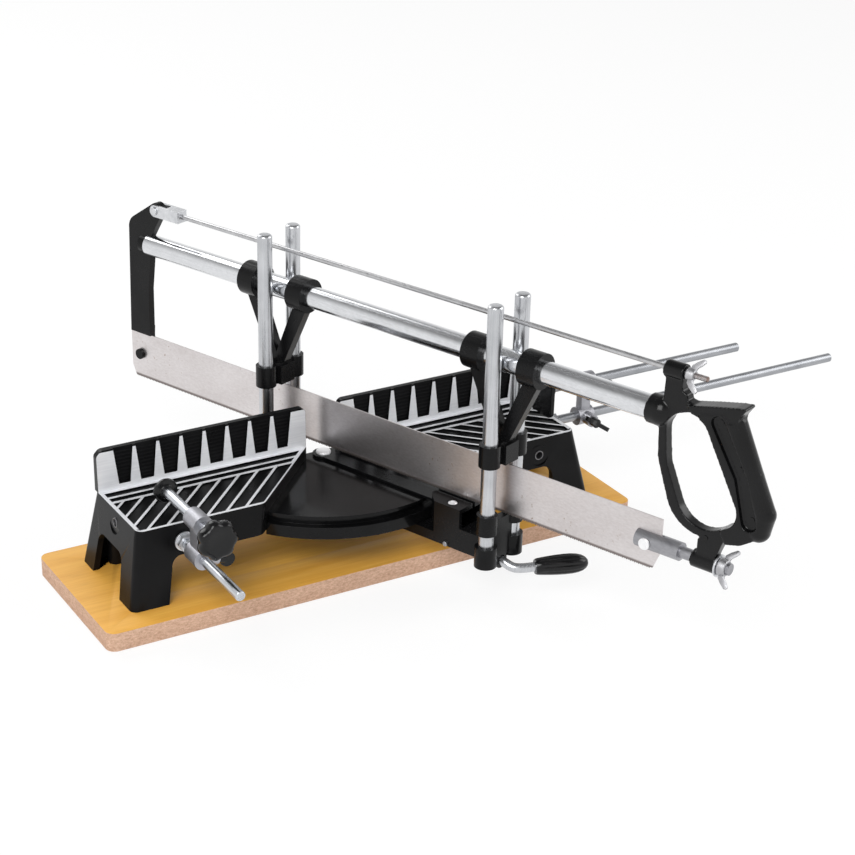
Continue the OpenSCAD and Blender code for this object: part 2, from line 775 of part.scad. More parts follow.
module clamp_pad() {
  color([0.08, 0.08, 0.09]) translate([-hole_x, 0, clamp_z]) difference() {
    union() {
      bar_y(-47.2, 3.2, 9.8);
      bar_y(-49 + 0.35, 3, 6);
    }
    bar_y(-60, 14.4, 2.5 + fit_r);
  }
}

module stop_carrier() {
  color([0.8, 0.81, 0.83]) translate([0, end_y, end_z]) bar_x(face_x - 18, stop_reach + 18 + 5, bar_r);
}

module stop_nut() {
  color([0.8, 0.8, 0.82]) translate([face_x, end_y, end_z]) rotate([0, 90, 0]) hex_nut(7, bar_r + fit_r, 6);
}

module stop_link() {
  color([0.62, 0.62, 0.64]) translate([stop_x, end_y, end_z]) two_hole_link(0, true, link_w, link_c);
}

module stop_lower_thumb_screw() {
  color([0.08, 0.08, 0.09]) translate([stop_x, end_y, end_z]) wing_screw(34);
}

module stop_upper_thumb_screw() {
  color([0.08, 0.08, 0.09]) translate([stop_x, end_y, stop_z]) wing_screw(-20);
}

module stop_rod() {
  color([0.8, 0.81, 0.83]) translate([0, end_y, stop_z]) bar_x(stop_face + 4, stop_l, bar_r);
}

module stop_plate() {
  color([0.08, 0.08, 0.09]) translate([0, end_y, stop_z]) difference() {
    union() {
      rotate([90, 0, 90]) translate([0, 0, stop_face]) linear_extrude(4) round_box([-19, -19], [19, 17], 5);
      bar_x(stop_face + 4 - eps, 9, 7);
    }
    bar_x(stop_face + 4, 40, bar_r + fit_r / 2);
  }
}

base_board();
left_table();
left_legs();
left_fence();
right_table();
right_legs();
right_fence();
quadrant();
bench_screws();
thread_inserts();
swivel_arm();
front_post_holder();
rear_post_holder();
pivot_rivet();
bridge_screws();
index_pin();
front_posts();
rear_posts();
front_guide();
rear_guide();
main_tube();
rear_arm();
rear_blade_pin();
tension_rod();
rod_clevis();
clevis_pin();
top_wing_nut();
handle();
blade();
blade_holder();
blade_bolt();
bottom_washer();
bottom_wing_nut();
lock_lever();
lever_grip();
clamp_rod();
clamp_nut();
clamp_link();
clamp_thumb_screw();
clamp_screw();
clamp_knob();
clamp_pad();
stop_carrier();
stop_nut();
stop_link();
stop_lower_thumb_screw();
stop_upper_thumb_screw();
stop_rod();
stop_plate();
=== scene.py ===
import math

import bmesh
import bpy
from mathutils import Matrix, Vector


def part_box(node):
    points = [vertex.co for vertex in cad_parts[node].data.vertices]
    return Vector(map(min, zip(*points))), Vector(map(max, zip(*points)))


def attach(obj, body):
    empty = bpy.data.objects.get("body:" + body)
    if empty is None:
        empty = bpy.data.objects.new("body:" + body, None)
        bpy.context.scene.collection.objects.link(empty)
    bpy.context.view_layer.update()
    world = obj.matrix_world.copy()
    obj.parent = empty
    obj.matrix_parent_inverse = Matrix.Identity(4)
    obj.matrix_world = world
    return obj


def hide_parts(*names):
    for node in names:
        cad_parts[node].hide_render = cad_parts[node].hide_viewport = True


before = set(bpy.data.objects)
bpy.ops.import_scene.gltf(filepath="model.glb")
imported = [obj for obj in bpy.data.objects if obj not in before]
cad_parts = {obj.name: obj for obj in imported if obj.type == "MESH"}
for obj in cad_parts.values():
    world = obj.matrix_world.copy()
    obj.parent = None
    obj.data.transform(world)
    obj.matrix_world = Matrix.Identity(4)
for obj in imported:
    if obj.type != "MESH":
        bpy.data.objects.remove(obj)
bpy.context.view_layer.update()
scene = bpy.context.scene
scene.view_settings.view_transform = "Standard"
mm = 0.001
armAngle = math.radians(20.5)  # the arm as the photograph shows it
quarter = math.radians(90)
armTurn = Matrix.Rotation(armAngle, 4, "Z")
toFront = Matrix.Rotation(quarter, 4, "X")  # local +Z points to the operator
toRear = toFront.inverted()
toRight = Matrix.Rotation(quarter, 4, "Y")


# one socket, with Python's operators adding Math nodes
class Wire:
    tree = None

    def __init__(self, socket):
        self.socket = socket

    @staticmethod
    def add(kind, settings=None, sockets=None, out=0):
        node = Wire.tree.nodes.new(kind)
        for key, value in (settings or {}).items():
            if key == "stops":
                while len(node.color_ramp.elements) < len(value):
                    node.color_ramp.elements.new(1.0)
                for element, (spot, colour) in zip(node.color_ramp.elements, value):
                    element.position = spot
                    element.color = colour
            else:
                setattr(node, key, value)
        for key, value in (sockets or {}).items():
            if isinstance(value, Wire):
                Wire.tree.links.new(value.socket, node.inputs[key])
            else:
                node.inputs[key].default_value = value
        return Wire(node.outputs[out])

    @staticmethod
    def sum(operation, a, b):
        return Wire.add("ShaderNodeMath", {"operation": operation}, {0: a, 1: b})

    def __add__(self, other):
        return Wire.sum("ADD", self, other)

    def __radd__(self, other):
        return Wire.sum("ADD", other, self)

    def __sub__(self, other):
        return Wire.sum("SUBTRACT", self, other)

    def __rsub__(self, other):
        return Wire.sum("SUBTRACT", other, self)

    def __mul__(self, other):
        return Wire.sum("MULTIPLY", self, other)

    def __rmul__(self, other):
        return Wire.sum("MULTIPLY", other, self)


# finishes

def startFinish(name, **constants):
    material = bpy.data.materials.new(name)
    material.use_nodes = True
    shader = material.node_tree.nodes["Principled BSDF"]
    for key, value in constants.items():
        shader.inputs[key.replace("_", " ")].default_value = value
    Wire.tree = material.node_tree
    return material, shader


def feed(shader, socket, wire):
    Wire.tree.links.new(wire.socket, shader.inputs[socket])


def grid(scale=(1, 1, 1), turn=0.0):
    spot = Wire.add("ShaderNodeTexCoord", out="Object")
    return Wire.add("ShaderNodeMapping", {}, {"Vector": spot, "Scale": scale, "Rotation": (0, 0, turn)})


def noise(where, scale, detail=3.0, rough=0.5):
    return Wire.add("ShaderNodeTexNoise", {}, {
        "Vector": where, "Scale": scale, "Detail": detail, "Roughness": rough})


# lays a colour over a colour or a wire
def overlaid(amount, under, over):
    return Wire.add("ShaderNodeMix", {"data_type": "RGBA"}, {0: amount, 6: under, 7: (*over, 1)}, 2)


def tint(amount, low, high):
    return overlaid(amount, (*low, 1), high)


def ramp(value, low, high):
    return Wire.add("ShaderNodeMapRange", {"clamp": True}, {
        "Value": value, "From Min": low, "From Max": high})


def bump(shader, height, strength, depth):
    feed(shader, "Normal", Wire.add("ShaderNodeBump", {}, {
        "Strength": strength, "Distance": depth, "Height": height}))


def blackFinish(name, low, high, rough, spread, grain, strength, gloss):
    material, shader = startFinish(name, Specular_IOR_Level=gloss)
    peel = noise(grid(), grain, 4.0, 0.6)
    cloud = noise(grid(), 38.0, 2.0)
    feed(shader, "Base Color", tint(ramp(cloud, 0.3, 0.7), low, high))
    feed(shader, "Roughness", rough + spread * cloud + 0.06 * peel)
    bump(shader, peel, strength, 0.0002)
    return material


def plateFinish(name, low, high, rough, spread, scale, turn=0.0, metal=1.0):
    material, shader = startFinish(name, Metallic=metal)
    streak = noise(grid(scale, turn), 1.0, 4.0, 0.65)
    cloud = noise(grid(), 60.0, 2.0)
    feed(shader, "Base Color", tint(ramp(0.6 * streak + 0.4 * cloud, 0.35, 0.65), low, high))
    feed(shader, "Roughness", rough + spread * streak)
    bump(shader, streak, 0.05, 0.0001)
    return material


def bladeFinish(name):
    material, shader = startFinish(name, Metallic=1.0)
    ground = noise(grid((900, 9, 700), -armAngle), 1.0, 4.0, 0.6)
    cloud = noise(grid((1, 0.5, 1), -armAngle), 26.0, 3.0)
    speck = noise(grid(), 330.0, 2.0)
    patch = noise(grid(), 21.0, 1.0)
    rust = ramp(speck, 0.66, 0.74) * ramp(patch, 0.52, 0.62)
    spot = Wire.add("ShaderNodeTexCoord", out="Object")
    height = Wire.add("ShaderNodeSeparateXYZ", {}, {"Vector": spot}, 2)
    edge = 1 - ramp(height, 0.0772, 0.0786)  # darker band along the toothed edge, painted shade of the teeth
    steel = tint(ramp(0.5 * cloud + 0.5 * ground, 0.38, 0.62), (0.62, 0.58, 0.575), (0.74, 0.705, 0.705))
    worn = overlaid(0.7 * rust, steel, (0.30, 0.20, 0.13))
    # the dark colour over the tooth line is painted shade
    feed(shader, "Base Color", overlaid(0.85 * edge, worn, (0.16, 0.13, 0.12)))
    feed(shader, "Roughness", 0.32 + 0.1 * ground + 0.2 * rust + 0.15 * edge)
    bump(shader, ground, 0.06, 0.0001)
    return material


def laminateFinish(name):
    material, shader = startFinish(name, Specular_IOR_Level=0.35)
    band = noise(grid((5, 90, 5)), 1.0, 3.0, 0.55)
    line = noise(grid((14, 420, 14)), 1.0, 4.0, 0.7)
    pore = noise(grid((60, 1500, 60)), 1.0, 1.0)
    grain = ramp(0.55 * band + 0.45 * line, 0.34, 0.66)
    wood = tint(grain, (0.79, 0.375, 0.052), (0.92, 0.505, 0.095))
    dark = 0.35 * ramp(pore, 0.6, 0.75)
    feed(shader, "Base Color", overlaid(dark, wood, (0.56, 0.27, 0.05)))
    feed(shader, "Roughness", 0.42 + 0.14 * line)
    bump(shader, line, 0.06, 0.0002)
    return material


def edgeFinish(name):
    material, shader = startFinish(name, Specular_IOR_Level=0.15)
    fibre = noise(grid((1, 1, 1.6)), 950.0, 3.0, 0.7)
    fleck = noise(grid((1, 1, 2.2)), 330.0, 2.0)
    mottle = ramp(0.55 * fibre + 0.45 * fleck, 0.36, 0.64)
    feed(shader, "Base Color", tint(mottle, (0.50, 0.30, 0.20), (0.76, 0.52, 0.38)))
    feed(shader, "Roughness", 0.8 + 0.1 * fibre)
    bump(shader, fibre, 0.25, 0.0003)
    return material


upright = (700, 700, 10)
lengthwise = (700, 10, 700)
paintBlack = blackFinish("paintBlack", (0.003, 0.003, 0.0033), (0.006, 0.006, 0.0066),
                         rough=0.20, spread=0.14, grain=520.0, strength=0.10, gloss=0.13)
quadrantBlack = blackFinish("quadrantBlack", (0.003, 0.003, 0.0032), (0.006, 0.006, 0.0065),
                            rough=0.07, spread=0.10, grain=300.0, strength=0.10, gloss=0.17)
castBlack = blackFinish("castBlack", (0.0032, 0.0032, 0.0035), (0.0065, 0.0065, 0.007),
                        rough=0.17, spread=0.12, grain=700.0, strength=0.12, gloss=0.17)
mouldBlack = blackFinish("mouldBlack", (0.0028, 0.0028, 0.003), (0.0055, 0.0055, 0.006),
                         rough=0.11, spread=0.10, grain=420.0, strength=0.08, gloss=0.26)
glossBlack = blackFinish("glossBlack", (0.003, 0.003, 0.0033), (0.006, 0.006, 0.0066),
                         rough=0.08, spread=0.09, grain=240.0, strength=0.05, gloss=0.32)
groundFace = plateFinish("groundFace", (0.78, 0.79, 0.82), (0.90, 0.91, 0.93),
                         rough=0.38, spread=0.14, scale=(25, 900, 900), metal=0.35)
chromeUpright = plateFinish("chromeUpright", (0.47, 0.48, 0.50), (0.62, 0.63, 0.65),
                            rough=0.20, spread=0.16, scale=upright)
chromeTube = plateFinish("chromeTube", (0.64, 0.65, 0.67), (0.76, 0.77, 0.79),
                         rough=0.10, spread=0.14, scale=lengthwise, turn=-armAngle)
zincAcross = plateFinish("zincAcross", (0.29, 0.30, 0.32), (0.42, 0.43, 0.45),
                         rough=0.34, spread=0.14, scale=(10, 500, 500))
zincBar = plateFinish("zincBar", (0.48, 0.50, 0.53), (0.66, 0.68, 0.71),
                      rough=0.20, spread=0.16, scale=(500, 10, 500))
rodSteel = plateFinish("rodSteel", (0.44, 0.44, 0.45), (0.60, 0.60, 0.61),
                       rough=0.22, spread=0.14, scale=lengthwise, turn=-armAngle)
zincPlain = plateFinish("zincPlain", (0.58, 0.59, 0.61), (0.74, 0.75, 0.77),
                        rough=0.28, spread=0.18, scale=(240, 240, 240))
nutZinc = plateFinish("nutZinc", (0.42, 0.42, 0.435), (0.56, 0.56, 0.575),
                      rough=0.42, spread=0.14, scale=(200, 200, 200))
insertSteel = plateFinish("insertSteel", (0.20, 0.20, 0.21), (0.32, 0.32, 0.33),
                          rough=0.38, spread=0.16, scale=(300, 300, 300))
brightHead = plateFinish("brightHead", (0.86, 0.86, 0.87), (0.93, 0.93, 0.94),
                         rough=0.24, spread=0.12, scale=(300, 300, 300), metal=0.45)
dieCast = plateFinish("dieCast", (0.36, 0.36, 0.385), (0.47, 0.47, 0.50),
                      rough=0.38, spread=0.16, scale=(420, 420, 420))
holderGrey = plateFinish("holderGrey", (0.29, 0.29, 0.31), (0.40, 0.40, 0.42),
                         rough=0.30, spread=0.18, scale=lengthwise, turn=-armAngle)
threadBrown = plateFinish("threadBrown", (0.20, 0.14, 0.12), (0.33, 0.25, 0.22),
                          rough=0.35, spread=0.16, scale=(500, 500, 500))
bladeSteel = bladeFinish("bladeSteel")
boardFace = laminateFinish("boardFace")
boardEdge = edgeFinish("boardEdge")
print("finishes made:", len(bpy.data.materials))


# meshes
weld = 1e-6


def linked(name, mesh, *materials):
    piece = bpy.data.objects.new(name, mesh)
    scene.collection.objects.link(piece)
    for material in materials:
        mesh.materials.append(material)
    return piece


# a piece that is smooth apart from the edges sharper than an angle
def pieceFrom(bm, name, *materials, angle=32.0):
    piece = linked(name, bpy.data.meshes.new(name), *materials)
    bm.normal_update()
    bm.to_mesh(piece.data)
    bm.free()
    piece.data.shade_smooth()
    piece.data.set_sharp_from_angle(angle=math.radians(angle))
    return piece


# keeps flat faces evenly shaded beside their rounded edges
def evened(piece):
    normals = piece.modifiers.new("normals", "WEIGHTED_NORMAL")
    normals.weight = 90
    normals.keep_sharp = True
    return baked(piece)


# turns a piece's modifiers into a plain mesh
def baked(piece):
    made = bpy.data.meshes.new_from_object(piece.evaluated_get(bpy.context.evaluated_depsgraph_get()))
    piece.modifiers.clear()
    piece.data = made
    return piece


def carried(piece, body, slot, *nodes):
    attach(piece, body)
    if nodes:
        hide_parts(*nodes)
    return piece


def cadCopy(node):
    bm = bmesh.new()
    bm.from_mesh(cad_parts[node].data)
    bmesh.ops.remove_doubles(bm, verts=bm.verts, dist=3 * weld)
    bmesh.ops.dissolve_limit(bm, angle_limit=math.radians(0.5), verts=bm.verts, edges=bm.edges)
    return bm


# rounds the edges sharper than an angle that a rule picks
def soften(bm, width, segments=3, angle=28.0, rule=None, clamp=True):
    limit = math.radians(angle)
    sharp = [edge for edge in bm.edges if len(edge.link_faces) == 2 and edge.calc_face_angle(0.0) > limit]
    picked = [edge for edge in sharp if rule is None or rule(edge)]
    if picked:
        bmesh.ops.bevel(bm, geom=picked, offset=width * mm, offset_type="OFFSET", segments=segments,
                        profile=0.5, affect="EDGES", clamp_overlap=clamp, harden_normals=False, material=-1)
    return bm


def mid(edge):
    return (edge.verts[0].co + edge.verts[1].co) / 2 / mm


# one ring of points whose radius may change with the angle
def ringOf(bm, steps, radiusAt, height):
    ring = []
    for k in range(steps):
        a = 2 * math.pi * k / steps
        r = radiusAt(a) * mm
        ring.append(bm.verts.new((r * math.cos(a), r * math.sin(a), height * mm)))
    return ring


# faces from ring to ring, where a ring of one point is a pole
def skin(bm, rings):
    for low, high in zip(rings, rings[1:]):
        steps = max(len(low), len(high))
        for k in range(steps):
            n = (k + 1) % steps
            corners = [low[k % len(low)], low[n % len(low)], high[n % len(high)], high[k % len(high)]]
            corners = [v for i, v in enumerate(corners) if v not in corners[:i]]
            if len(corners) > 2:
                bm.faces.new(corners)
    if rings[0] is not rings[-1]:
        if len(rings[0]) > 1:
            bm.faces.new(list(reversed(rings[0])))
        if len(rings[-1]) > 1:
            bm.faces.new(rings[-1])
    bmesh.ops.recalc_face_normals(bm, faces=bm.faces)
    return bm


# turns an outline of radius and height, which closes on itself where it ends as it starts
def lathe(profile, steps=48):
    bm = bmesh.new()
    closed = profile[0] == profile[-1]
    rings = []
    for radius, height in profile[:-1] if closed else profile:
        if radius == 0:
            rings.append([bm.verts.new((0, 0, height * mm))])
        else:
            rings.append(ringOf(bm, steps, lambda a: radius, height))
    return skin(bm, rings + rings[:1] if closed else rings)


def joined(parts):
    whole = bmesh.new()
    for part in parts:
        mesh = bpy.data.meshes.new("part")
        part.to_mesh(mesh)
        part.free()
        whole.from_mesh(mesh)
        bpy.data.meshes.remove(mesh)
    return whole


def moved(bm, *matrices):
    for matrix in matrices:
        bm.transform(matrix)
    return bm


def shift(x, y, z):
    return Matrix.Translation((x * mm, y * mm, z * mm))


# a Geometry Nodes tree with named inputs, turned into a plain mesh
def grown(name, points, inputs, build, material):
    tree = bpy.data.node_groups.new(name + "Tree", "GeometryNodeTree")
    tree.interface.new_socket("Geometry", in_out="INPUT", socket_type="NodeSocketGeometry")
    spots = {key: tree.interface.new_socket(key, in_out="INPUT", socket_type=kind).identifier
             for key, (kind, value) in inputs.items()}
    tree.interface.new_socket("Geometry", in_out="OUTPUT", socket_type="NodeSocketGeometry")
    start, end = tree.nodes.new("NodeGroupInput"), tree.nodes.new("NodeGroupOutput")
    Wire.tree = tree
    made = build({key: Wire(start.outputs[key]) for key in ["Geometry", *inputs]})
    whole = Wire.add("GeometryNodeRealizeInstances", {}, {"Geometry": made})
    done = Wire.add("GeometryNodeSetMaterial", {}, {"Geometry": whole, "Material": material})
    tree.links.new(done.socket, end.inputs[0])
    piece = linked(name, points)
    modifier = piece.modifiers.new("nodes", "NODES")
    modifier.node_group = tree
    for key, (kind, value) in inputs.items():
        modifier[spots[key]] = value
    return baked(piece)


def pointMesh(name, points, **values):
    mesh = bpy.data.meshes.new(name)
    mesh.from_pydata([Vector(p) * mm for p in points], [], [])
    for key, numbers in values.items():
        attribute = mesh.attributes.new(key, "FLOAT", "POINT")
        attribute.data.foreach_set("value", numbers)
    return mesh


def named(key):
    return Wire.add("GeometryNodeInputNamedAttribute", {"data_type": "FLOAT"}, {"Name": key})


def vector(x, y, z):
    return Wire.add("ShaderNodeCombineXYZ", {}, {"X": x, "Y": y, "Z": z})


number = "NodeSocketFloat"
count = "NodeSocketInt"


# board
board = {"node": "base_board", "round": 0.7, "top": 15.4, "near": 0.1, "level": 0.8}
bm = soften(cadCopy(board["node"]), board["round"], 2, 40)
panel = pieceFrom(bm, "boardPanel", boardFace, boardEdge)
for face in panel.data.polygons:
    outer = face.center.z > (board["top"] - board["near"]) * mm or face.center.z < board["near"] * mm
    face.material_index = 0 if outer and abs(face.normal.z) > board["level"] else 1
carried(panel, "bench", "board", board["node"])
print("board made")


# bench casting
bench = {"tableZ": 76.4, "seamZ": 71.9, "fenceZ": 111.0, "footZ": 15.4, "topStrip": 1.5, "near": 0.1,
         "corner": 6.0, "cornerX": 196.0, "cornerFront": -72.0, "cornerRear": 6.0,
         "nose": 3.0, "noseFront": -70.0, "noseLine": 16.5, "noseReach": 9.0, "noseLow": 50.0,
         "ridge": 0.12, "ridgeRear": 7.5, "fenceEnd": 1.6, "fenceEndLow": 100.0, "fenceDeep": 3.0,
         "edge": 1.1, "rim": 0.9, "rimRadius": 100.0, "endWall": 195.0, "archRound": 9.0, "footNear": 0.5,
         "steep": 0.9, "tall": 2.0, "flat": 0.99, "topNear": 0.15,
         "arches": [{"onEnd": False, "edge": 179.0, "sign": 1, "topZ": 52.0, "foot": 0.0, "top": 5.6},
                    {"onEnd": True, "edge": -64.0, "sign": -1, "topZ": 50.0, "foot": 3.0, "top": 8.4},
                    {"onEnd": True, "edge": -4.0, "sign": 1, "topZ": 50.0, "foot": 5.0, "top": 6.0}]}


def isUpright(edge):
    a, b = (vert.co / mm for vert in edge.verts)
    rise = abs(a.z - b.z)
    return rise > bench["tall"] and rise > bench["steep"] * (a - b).length


def isCorner(edge):
    m = mid(edge)
    outer = m.y < bench["cornerFront"] or m.y > bench["cornerRear"]
    return isUpright(edge) and abs(m.x) > bench["cornerX"] and outer


# the table's slanted inner front corner
def isNose(edge):
    m = mid(edge)
    nearLine = abs(abs(m.x) - bench["noseLine"] + m.y) < bench["noseReach"]
    return isUpright(edge) and m.y < bench["noseFront"] and nearLine and m.z > bench["noseLow"]


# not at the feet, and not where the legs meet the table
def isLegEdge(edge):
    onSeam = all(abs(vert.co.z / mm - bench["seamZ"]) < bench["near"] for vert in edge.verts)
    return not onSeam and mid(edge).z > bench["footZ"] + bench["footNear"]


def isTableRidge(edge):
    m = mid(edge)
    return m.z > bench["tableZ"] - bench["near"] and m.y < bench["ridgeRear"]


def isFenceEnd(edge):
    a, b = edge.verts
    return mid(edge).z > bench["fenceEndLow"] and abs(a.co.y - b.co.y) > bench["fenceDeep"] * mm


def isFenceRidge(edge):
    return mid(edge).z > bench["tableZ"] + 2 * bench["near"]


def isRim(edge):
    return mid(edge).xy.length > bench["rimRadius"]


# the arches' edges lean with the outside of the legs, which keeps each leg as wide above as below
def leanArches(bm):
    near = bench["near"]
    reach = bench["archRound"] + near
    for vert in bm.verts:
        x, y, z = vert.co / mm
        onEnd = abs(x) > bench["endWall"]
        for arch in bench["arches"]:
            if onEnd != arch["onEnd"]:
                continue
            inward = (arch["edge"] - (y if onEnd else abs(x))) * arch["sign"]
            atFoot = z < bench["footZ"] + bench["footNear"] and abs(inward) < near
            atTop = -near < inward < reach and -near < arch["topZ"] - z < reach
            step = arch["foot"] if atFoot else arch["top"] if atTop else 0.0
            if onEnd:
                vert.co.y -= arch["sign"] * step * mm
            else:
                vert.co.x -= math.copysign(step * mm, x)
    return bm


for side in ("left", "right"):
    node = side + "_legs"
    bm = leanArches(cadCopy(node))
    soften(bm, bench["corner"], 6, rule=isCorner, clamp=False)
    soften(bm, bench["nose"], 4, rule=isNose)
    soften(bm, bench["edge"], rule=isLegEdge)
    carried(evened(pieceFrom(bm, side + "Legs", paintBlack)), "bench", "casting", node)

    node = side + "_table"
    bm = cadCopy(node)
    soften(bm, bench["corner"], 6, rule=isCorner, clamp=False)
    soften(bm, bench["nose"], 4, rule=isNose)
    soften(bm, bench["ridge"], 2, rule=isTableRidge)
    top = pieceFrom(bm, side + "Table", paintBlack, groundFace)
    for face in top.data.polygons:
        if face.normal.z > bench["flat"] and face.center.z > (bench["tableZ"] - bench["topNear"]) * mm:
            face.material_index = 1
    carried(evened(top), "bench", "casting", node)

    node = side + "_fence"
    bm = cadCopy(node)
    soften(bm, bench["fenceEnd"], 4, rule=isFenceEnd)
    soften(bm, bench["ridge"], 2, rule=isFenceRidge)
    stripZ = (bench["fenceZ"] - bench["topStrip"]) * mm  # above it the fence is painted
    bmesh.ops.bisect_plane(bm, geom=bm.verts[:] + bm.edges[:] + bm.faces[:], dist=weld,
                           plane_co=(0, 0, stripZ), plane_no=(0, 0, 1))
    wall = pieceFrom(bm, side + "Fence", paintBlack, groundFace)
    for face in wall.data.polygons:
        front = face.normal.y < -bench["flat"] and face.center.y < bench["fenceDeep"] * mm
        if front and face.center.z < stripZ:
            face.material_index = 1
    carried(evened(wall), "bench", "casting", node)

bm = soften(cadCopy("quadrant"), bench["rim"], 3, rule=isRim)
carried(evened(pieceFrom(bm, "quadrantPlate", quadrantBlack)), "bench", "casting", "quadrant")


# fine ridges across each fence panel
ribs = {"levels": 9, "pitch": 3.1, "height": 1.3, "depth": 0.85, "y": 3.62, "lowZ": 82.2,
        "panels": 8, "panelX": 36.0, "panelPitch": 20.0, "panelZ": 80.4, "panelTall": 29.0,
        "halves": (5.2, 8.4),  # half width at the panel's foot and head
        "inner": (36.9, 4.3, 7.6), "outer": (175.3, 4.5, 7.8)}  # the end panels: x and half widths


def fenceRibs(nodes):
    bar = Wire.add("GeometryNodeMeshCylinder", {"fill_type": "NGON"},
                   {"Vertices": 8, "Radius": nodes["height"], "Depth": 2.0})
    laid = Wire.add("GeometryNodeTransform", {}, {"Geometry": bar, "Rotation": (0, quarter, 0)})
    return Wire.add("GeometryNodeInstanceOnPoints", {}, {
        "Points": nodes["Geometry"], "Instance": laid, "Scale": vector(named("half"), nodes["depth"], 1.0)})


ribPoints, ribHalves = [], []
ends = {0: ribs["inner"], ribs["panels"] - 1: ribs["outer"]}
for side in (-1, 1):
    for index in range(ribs["panels"]):
        x, foot, head = ends.get(index, (ribs["panelX"] + ribs["panelPitch"] * index, *ribs["halves"]))
        for level in range(ribs["levels"]):
            z = ribs["lowZ"] + ribs["pitch"] * level
            share = (z - ribs["panelZ"]) / ribs["panelTall"]
            ribPoints.append((side * x, ribs["y"], z))
            ribHalves.append((foot + (head - foot) * share) * mm)
ribInputs = {"height": (number, ribs["height"] * mm / 2), "depth": (number, ribs["depth"])}
ribRow = pointMesh("ribPoints", ribPoints, half=ribHalves)
carried(grown("fenceRibs", ribRow, ribInputs, fenceRibs, paintBlack), "bench", "casting")


# raised marks on the quadrant's rim, one at each detent
detents = {"angles": [-45, -36, -30, -22.5, -15, 0, 15, 22.5, 30, 36, 45], "radius": 113.2, "z": 58.1,
           "wide": 0.7, "long": 2.6, "tall": 0.5}


def detentMarks(nodes):
    mark = Wire.add("GeometryNodeMeshCube", {}, {"Size": vector(nodes["wide"], nodes["long"], nodes["tall"])})
    return Wire.add("GeometryNodeInstanceOnPoints", {}, {
        "Points": nodes["Geometry"], "Instance": mark, "Rotation": vector(0.0, 0.0, named("turn"))})


turns = [math.radians(degrees) for degrees in detents["angles"]]
rim = [(detents["radius"] * math.sin(a), -detents["radius"] * math.cos(a), detents["z"]) for a in turns]
markInputs = {key: (number, detents[key] * mm) for key in ("wide", "long", "tall")}
markRow = pointMesh("markPoints", rim, turn=turns)
carried(grown("detentMarks", markRow, markInputs, detentMarks, quadrantBlack), "bench", "casting")
print("bench made")


# pieces whose CAD shape is right, with softened edges
softPieces = [
    # node, piece, body, slot, finish, width, segments
    ("swivel_arm", "swivelArm", "arm", "casting", castBlack, 0.8, 3),
    ("front_post_holder", "frontPostHolder", "arm", "casting", castBlack, 0.8, 3),
    ("rear_post_holder", "rearPostHolder", "arm", "casting", castBlack, 0.8, 3),
    ("front_guide", "frontGuide", "front_guide", "casting", castBlack, 0.9, 3),
    ("rear_guide", "rearGuide", "rear_guide", "casting", castBlack, 0.9, 3),
    ("rear_arm", "rearArm", "saw", "casting", castBlack, 0.9, 3),
    ("rod_clevis", "rodClevis", "saw", "zinc", zincPlain, 0.7, 3),
    ("clevis_pin", "clevisPin", "saw", "zinc", zincPlain, 0.4, 3),
    ("rear_blade_pin", "rearBladePin", "saw", "casting", castBlack, 0.5, 3),
    ("blade_holder", "bladeHolder", "saw", "zinc", holderGrey, 0.6, 3),
    ("blade_bolt", "bladeBolt", "saw", "zinc", brightHead, 0.6, 3),
    ("bottom_washer", "bottomWasher", "saw", "zinc", zincPlain, 0.3, 2),
    ("index_pin", "indexPin", "arm", "zinc", zincAcross, 0.5, 3),
    ("thread_inserts", "threadInserts", "bench", "zinc", insertSteel, 0.25, 2),
    ("bench_screws", "benchScrews", "bench", "zinc", zincPlain, 0.4, 2),
    ("clamp_nut", "clampNut", "bench", "zinc", zincPlain, 0.4, 3),
    ("clamp_link", "clampLink", "clamp_link", "diecast", dieCast, 0.9, 3),
    ("clamp_screw", "clampScrew", "clamp_screw", "zinc", zincBar, 0.5, 2),
    ("clamp_thumb_screw", "clampThumbScrew", "clamp_thumb_screw", "plastic", glossBlack, 0.7, 3),
    ("stop_nut", "stopNut", "bench", "zinc", zincPlain, 0.4, 3),
    ("stop_link", "stopLink", "stop_link", "diecast", dieCast, 0.9, 3),
    ("stop_lower_thumb_screw", "stopLowerThumbScrew", "stop_lower_thumb_screw",
     "plastic", glossBlack, 0.7, 3),
    ("stop_upper_thumb_screw", "stopUpperThumbScrew", "stop_upper_thumb_screw",
     "plastic", glossBlack, 0.7, 3),
    ("stop_plate", "stopPlate", "stop_rod", "plastic", castBlack, 0.8, 3),
]
for node, name, body, slot, finish, width, segments in softPieces:
    carried(evened(pieceFrom(soften(cadCopy(node), width, segments), name, finish)), body, slot, node)
print("softened pieces made:", len(softPieces))


# turned bars with rounded ends
bars = {"postRadius": 6.0, "postTop": 250.0, "postFoot": 36.5, "postSpread": 16.6, "postDome": 2.4,
        "frontPosts": -181.5, "rearPosts": 48.0, "barEnd": 0.9}
tube = {"radius": 9.0, "wall": 1.5, "front": -318.0, "rear": 197.0, "z": 201.5, "edge": 0.3}


def roundBar(radius, length, rounding):
    arc = []
    for degrees in range(0, 91, 15):
        a = math.radians(degrees)
        arc.append((radius - rounding * (1 - math.sin(a)), rounding * (1 - math.cos(a))))
    far = [(r, length - h) for r, h in reversed(arc)]
    return lathe([(0, 0), *arc, *far, (0, length)], 64)


for name, node in (("frontPosts", "front_posts"), ("rearPosts", "rear_posts")):
    pair = []
    for across in (-bars["postSpread"], bars["postSpread"]):
        post = roundBar(bars["postRadius"], bars["postTop"] - bars["postFoot"], bars["postDome"])
        pair.append(moved(post, shift(across, bars[name], bars["postFoot"]), armTurn))
    carried(pieceFrom(joined(pair), name, chromeUpright), "arm", "chrome", node)

